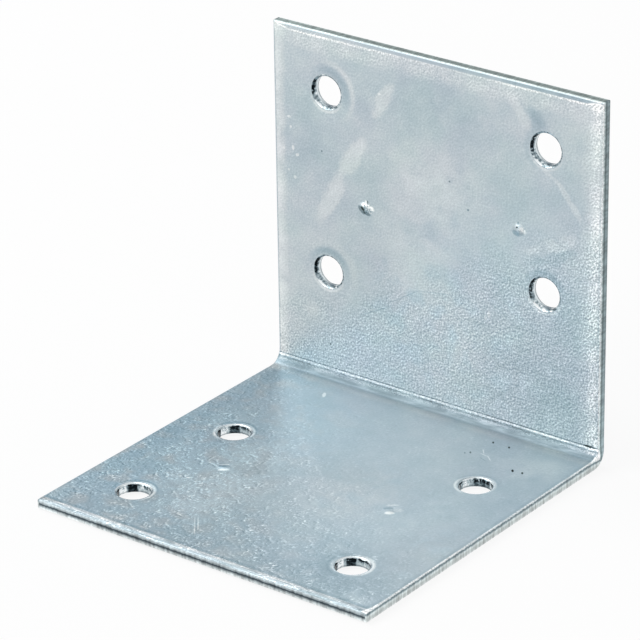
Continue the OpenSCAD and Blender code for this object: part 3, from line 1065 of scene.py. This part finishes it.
def sheared_finish(sheet, chosen):
    """Cropped and slit edges of sheet steel under thin plating. From the inner
    face down: a painted highlight on the arris, a burnished band, paler for its
    painted shine, then dull torn metal with painted shade in its fracture
    hollows, and a paler foot. The slit sides are streaked upright, and the
    upright's is painted darker than the base's, as painted shade."""
    material, tree = new_material("zinc_over_sheared_steel")
    spot = Unfolded(tree, sheet)
    front, top, slit, laid = (
        add(tree, "ValToRGB", (spot.level,), stops=dyed(stops, chosen, SHEARED))
        for stops in (
            ((0.04, "#A4ADB1"), (0.16, "#98A2A6"), (0.27, "#AAB4B8"), (0.38, "#9AA4A8"),
             (0.44, "#747F84"), (0.49, "#3E4950"), (0.55, "#3C474E"), (0.62, "#5E696E"),
             (0.7, "#939C9F"), (0.8, "#B4BCBE"), (0.9, "#D0D6D7")),
            ((0.03, "#C3CDCC"), (0.2, "#A5B0AE"), (0.48, SHEARED), (0.7, "#8F9A98"),
             (0.95, "#B4BFBD")),
            ((0.02, "#DCDEE2"), (0.15, "#A3B2B3"), (0.28, "#5F6D70"), (0.42, "#6B7A7E"),
             (0.6, "#8B9A9E"), (0.8, "#7F8F93"), (0.95, "#76868A")),
            ((0.02, "#E2E5E6"), (0.08, "#ACBABD"), (0.13, "#74838A"), (0.22, "#7A8A8F"),
             (0.32, "#B4C1C4"), (0.42, "#D6DEDE"), (0.54, "#C6CECE"), (0.7, "#BAC2C1"),
             (0.85, "#C6CCCC"), (0.97, "#DDE1E1"))))
    cropped = add(tree, "Mix", (spot.upright, front, top), data_type="RGBA")
    # Fine lines that the blade drew across the cropped ends
    drawn = add(tree, "VectorMath", (spot.flat, (0.04, 0.04, 1.0)), "MULTIPLY")
    drawn = grains(tree, drawn, 0.12 * MM)
    drawn = add(tree, "MapRange", (drawn, -1.0, 1.0, 0.84, 1.16))
    # The painted shade in the hollows is lighter next to the left corner, where they are
    # shallower
    shallow = add(tree, "MapRange", (spot.left, 3 * MM, 14 * MM, 1.35, 1.0))
    for share in (drawn, shallow):
        cropped = add(tree, "VectorMath", {0: cropped, "Scale": share}, "SCALE")
    # The upright's slit side grows paler towards the fold, its painted shade fading into
    # the base's paler side
    paler_near_fold = add(tree, "MapRange", (spot.along, IRON_START, IRON_END, 1.0, 1.4))
    slit = add(tree, "VectorMath", {0: slit, "Scale": paler_near_fold}, "SCALE")
    # The base's slit side is paler than the upright's, whose darker colour is painted
    # shade
    slit = add(tree, "Mix", (spot.upright, laid, slit), data_type="RGBA")
    on_side = add(tree, "MapRange", (spot.side, 0.35 * MM, 0.2 * MM))
    torn = add(tree, "Mix", (on_side, cropped, slit), data_type="RGBA")
    streaks = grains(tree, spot.through, 0.45 * MM, 3)
    streaks = add(tree, "MapRange", (streaks, -1.0, 1.0, 0.72, 1.28))
    streaked = add(tree, "VectorMath", {0: torn, "Scale": streaks}, "SCALE")
    shader = add(tree, "BsdfPrincipled", {
        "Base Color": streaked, "Metallic": 1.0, "Roughness": 0.5})
    add(tree, "OutputMaterial", (shader,))
    return material


def bore_finish(sheet, chosen):
    """Walls of the punched holes: burnished and streaked by the punch, with
    painted reflections, black ones of the shade under the plate, speckled where
    torn, and pale ones of the bright surround, a painted highlight on the base's
    lip, and a dark line where the slug broke out."""
    material, tree = new_material("zinc_over_punched_steel")
    spot = Unfolded(tree, sheet)
    # On the upright only the half next to the inner face is torn: the rest is
    # drawn smooth and pale
    torn = add(tree, "MapRange", (spot.level, 0.62, 0.5))
    least = add(tree, "Math", (spot.base, 0.35), "MULTIPLY")
    torn = add(tree, "Math", (torn, least), "MAXIMUM")
    wall = add(tree, "CombineXYZ", (spot.across, spot.straight, 0.0))
    patches = spot_marks(tree, wall, PAINTED_BORE_REFLECTIONS, 0.0, 0.45)
    # The black painted reflections grow paler towards the outer face
    fade = add(tree, "Math", (spot.level, -0.6, 1.1), "MULTIPLY_ADD")
    patches = add(tree, "Math", (patches, fade), "MULTIPLY")
    rim = add(tree, "CombineXYZ", (spot.across, spot.straight, spot.depth))
    patches = spot_marks(tree, rim, PAINTED_RIM_REFLECTIONS, patches, 0.6)
    # Torn metal sparkles most where the painted reflection is black; elsewhere the wall is
    # drawn
    black = add(tree, "MapRange", (patches, 0.0, -1.0, 0.25, 1.0))
    least = add(tree, "Math", (spot.base, 0.4), "MULTIPLY")
    black = add(tree, "Math", (black, least), "MAXIMUM")
    speckle = grains(tree, spot.place, 0.35 * MM, spread=0.14)
    speckle = add(tree, "Math", (speckle, black), "MULTIPLY")
    streaks = grains(tree, spot.through, 0.5 * MM, 4, 0.14)
    streaks = add(tree, "Math", (streaks, 0.6), "MULTIPLY")
    shade = add(tree, "Math", (speckle, 1.2, streaks), "MULTIPLY_ADD")
    shade = add(tree, "Math", (shade, torn), "MULTIPLY")
    shade = add(tree, "Math", (shade, 0.9, patches), "MULTIPLY_ADD")
    offset = add(tree, "Math", (torn, -0.4, 0.52), "MULTIPLY_ADD")
    shade = add(tree, "Math", (shade, offset), "ADD")
    # The drawn half on the upright is painted paler still: a painted reflection of the
    # bright surround
    smooth = add(tree, "Math", (1.0, torn), "SUBTRACT")
    smooth = add(tree, "Math", (spot.upright, smooth), "MULTIPLY")
    shade = add(tree, "Math", (smooth, 0.14, shade), "MULTIPLY_ADD")
    # On the base the lip is painted bright all round: a painted highlight
    lip = add(tree, "MapRange", (spot.level, 0.2, 0.12))
    lip = add(tree, "Math", (lip, spot.base), "MULTIPLY")
    lift = add(tree, "Math", (0.75, shade), "SUBTRACT")
    shade = add(tree, "Math", (lip, lift, shade), "MULTIPLY_ADD")
    shade = add(tree, "MapRange", (shade, -1.2, 1.2))
    metal = add(tree, "ValToRGB", (shade,), stops=dyed((
        (0.05, "#10181C"), (0.3, "#4A5A61"), (0.5, BORE), (0.68, "#B4C2C7"),
        (0.9, "#F4F9FB")), chosen, BORE))
    ring = add(tree, "ValToRGB", (spot.level,), stops=(
        (0.0, 0.95), (0.08, 0.85), (0.2, 1.0), (0.8, 1.0), (0.86, 0.5), (0.91, 0.5),
        (0.96, 0.9), (1.0, 0.9)))
    metal = add(tree, "Mix", (1.0, metal, ring), "MULTIPLY", data_type="RGBA")
    shader = add(tree, "BsdfPrincipled", {
        "Base Color": metal, "Metallic": 1.0, "Roughness": 0.25})
    add(tree, "OutputMaterial", (shader,))
    return material


# ---------------------------------------------------------------------------
# Operators
# ---------------------------------------------------------------------------


# A face looks along an axis if its normal has at least this much of it
FACING = 0.7


class BRACE_OT_folded_sheet(bpy.types.Operator):
    """Model the folded, punched and plated sheet in place of its plain solid"""

    bl_idname = "brace.folded_sheet"
    bl_label = "Folded sheet"

    def execute(self, context):
        settings = context.scene.brace
        colours = settings.finish
        sheet = Sheet(settings.sheet)
        piece = make_sheet(sheet)
        round_arrises(piece, sheet, settings.sheet)
        finishes = [plate_finish(sheet, colours.plate),
                    sheared_finish(sheet, colours.sheared)]
        bore = bore_finish(sheet, colours.bore)
        piece.data.materials.clear()
        for finish in finishes:
            piece.data.materials.append(finish)

        def is_sheared(face):
            middle = face.calc_center_median()
            outwards = [abs(face.normal.x)]
            if sheet.on_base(middle):
                outwards.append(-face.normal.y)
            elif sheet.on_upright(middle):
                outwards.append(face.normal.z)
            return max(outwards) > FACING

        edit(piece)
        pick("FACE", is_sheared)
        piece.active_material_index = 1
        bpy.ops.object.material_slot_assign()
        bpy.ops.object.mode_set(mode="OBJECT")
        punch_holes(piece, sheet, settings.holes, bore)
        roll_ends(piece, sheet, settings.sheet)
        roll_sides(piece, sheet, settings.sheet)
        dish_holes(piece, sheet, settings.holes)
        raise_pips(piece, sheet, settings.pips)
        swell_fold(piece, sheet, settings.sheet)
        activate(piece)
        bpy.ops.object.shade_smooth_by_angle(angle=radians(35))
        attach(piece, "root")
        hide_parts(NODE)
        return {"FINISHED"}


class BRACE_OT_studio(bpy.types.Operator):
    """Set the floor, the soft lamps, the white surround and the camera"""

    bl_idname = "brace.studio"
    bl_label = "Studio"

    def execute(self, context):
        studio = context.scene.brace.studio
        make_surround(context.scene)
        make_floor()
        make_back_wall(studio)
        make_lamps(context.scene, studio)
        make_camera(context.scene, studio)
        return {"FINISHED"}


def seen_directly(tree):
    """One for rays that come from the camera or a reflection, zero for light."""
    path = add(tree, "LightPath")
    first = add(tree, "Math", (path.outputs["Is Camera Ray"],
                               path.outputs["Is Glossy Ray"]), "MAXIMUM")
    return add(tree, "Math", (first, path.outputs["Is Transmission Ray"]), "MAXIMUM")


def make_surround(scene):
    """White surround, a little dimmer as a light than as seen."""
    world = bpy.data.worlds.new("white_surround")
    scene.world = world
    world.use_nodes = True
    tree = world.node_tree
    tree.nodes.clear()
    strength = add(tree, "MapRange", (seen_directly(tree), 0.0, 1.0, 0.7, 1.0))
    add(tree, "OutputWorld", (add(tree, "Background", ((1, 1, 1, 1), strength)),))
    world.cycles.sampling_method = "NONE"


def lay_sheet(name, size, place, rotation=(0, 0, 0), scale=(1, 1, 1)):
    """A flat sheet of the studio."""
    activate(None)
    bpy.ops.mesh.primitive_plane_add(size=size, location=place, rotation=rotation)
    made = bpy.context.object
    made.name = name
    made.scale = scale
    bake_place()
    return made


def make_floor():
    """A plain white floor that still takes the brace's shadow."""
    floor = lay_sheet("studio_floor", 6, (0, 0, -0.2 * MM))
    material, tree = new_material("white_paper_floor")
    paper = add(tree, "BsdfDiffuse", {"Color": (0.9, 0.9, 0.9, 1)})
    white = add(tree, "Emission", {"Color": (1, 1, 1, 1), "Strength": 1.0})
    share = add(tree, "Math", (seen_directly(tree), 0.85), "MULTIPLY")
    both = add(tree, "MixShader", (share, paper, white))
    add(tree, "OutputMaterial", (both,))
    material.cycles.emission_sampling = "NONE"
    floor.data.materials.append(material)


def make_back_wall(studio):
    """The grey wall of the studio, far behind on the left, beyond the floor's
    paper. The base and the top edge reflect it."""
    wall = lay_sheet("studio_wall", 1, (-1.0, 1.3, 0.45), (pi / 2, 0, radians(37)),
                     (2.4, 0.9, 1))
    material, tree = new_material("grey_painted_wall")
    paint = add(tree, "BsdfDiffuse", {"Color": (*studio.wall, 1)})
    add(tree, "OutputMaterial", (paint,))
    wall.data.materials.append(material)


def make_lamps(scene, studio):
    """Two large soft boxes: one overhead, one from the front left."""
    middle = (LOW + HIGH) / 2
    for name, place, size, watts in (
            ("overhead_soft_box", Vector((-0.5, 0.0, 0.8)), 0.6, studio.overhead),
            ("front_soft_box", Vector((-0.6, -0.85, 0.3)), 0.5, studio.front)):
        light = bpy.data.lights.new(name, "AREA")
        light.shape = "SQUARE"
        light.size = size
        light.energy = watts
        lamp = bpy.data.objects.new(name, light)
        scene.collection.objects.link(lamp)
        lamp.location = place + middle
        lamp.rotation_euler = (-place).to_track_quat("-Z", "Y").to_euler()


def make_camera(scene, studio):
    """The camera, turned about the brace by its azimuth, elevation and roll."""
    a, e, roll = studio.azimuth, studio.elevation, studio.roll
    back = Vector((sin(a) * cos(e), -cos(a) * cos(e), sin(e)))
    right = Vector((cos(a), sin(a), 0))
    up = back.cross(right)
    turned_right = right * cos(roll) + up * sin(roll)
    turned_up = up * cos(roll) - right * sin(roll)
    lens = bpy.data.cameras.new("studio_camera")
    lens.lens = studio.lens
    lens.sensor_width = 36
    lens.clip_start = 10 * MM
    camera = bpy.data.objects.new("studio_camera", lens)
    scene.collection.objects.link(camera)
    turn = Matrix((turned_right, turned_up, back)).transposed().to_4x4()
    place = Vector(studio.target) + back * studio.distance
    camera.matrix_world = Matrix.Translation(place) @ turn
    scene.camera = camera
    scene.view_settings.view_transform = "Standard"


class BRACE_PT_panel(bpy.types.Panel):
    bl_idname = "BRACE_PT_panel"
    bl_label = "Corner brace"
    bl_space_type = "VIEW_3D"
    bl_region_type = "UI"
    bl_category = "Brace"

    def draw(self, context):
        settings = context.scene.brace
        for name, operator in (("sheet", "brace.folded_sheet"), ("holes", None),
                               ("pips", None), ("finish", None),
                               ("studio", "brace.studio")):
            group = getattr(settings, name)
            box = self.layout.box()
            box.label(text=name.capitalize())
            for key in group.__annotations__:
                box.prop(group, key)
            if operator:
                box.operator(operator)


CLASSES = (SheetSizes, HoleSizes, PipSizes, FinishColours, StudioSizes, BraceSettings,
           BRACE_OT_folded_sheet, BRACE_OT_studio, BRACE_PT_panel)


def register():
    for cls in CLASSES:
        bpy.utils.register_class(cls)
    bpy.types.Scene.brace = PointerProperty(type=BraceSettings)


def unregister():
    del bpy.types.Scene.brace
    for cls in reversed(CLASSES):
        bpy.utils.unregister_class(cls)


def main():
    register()
    bpy.ops.brace.folded_sheet()
    bpy.ops.brace.studio()


if __name__ == "__main__":
    main()
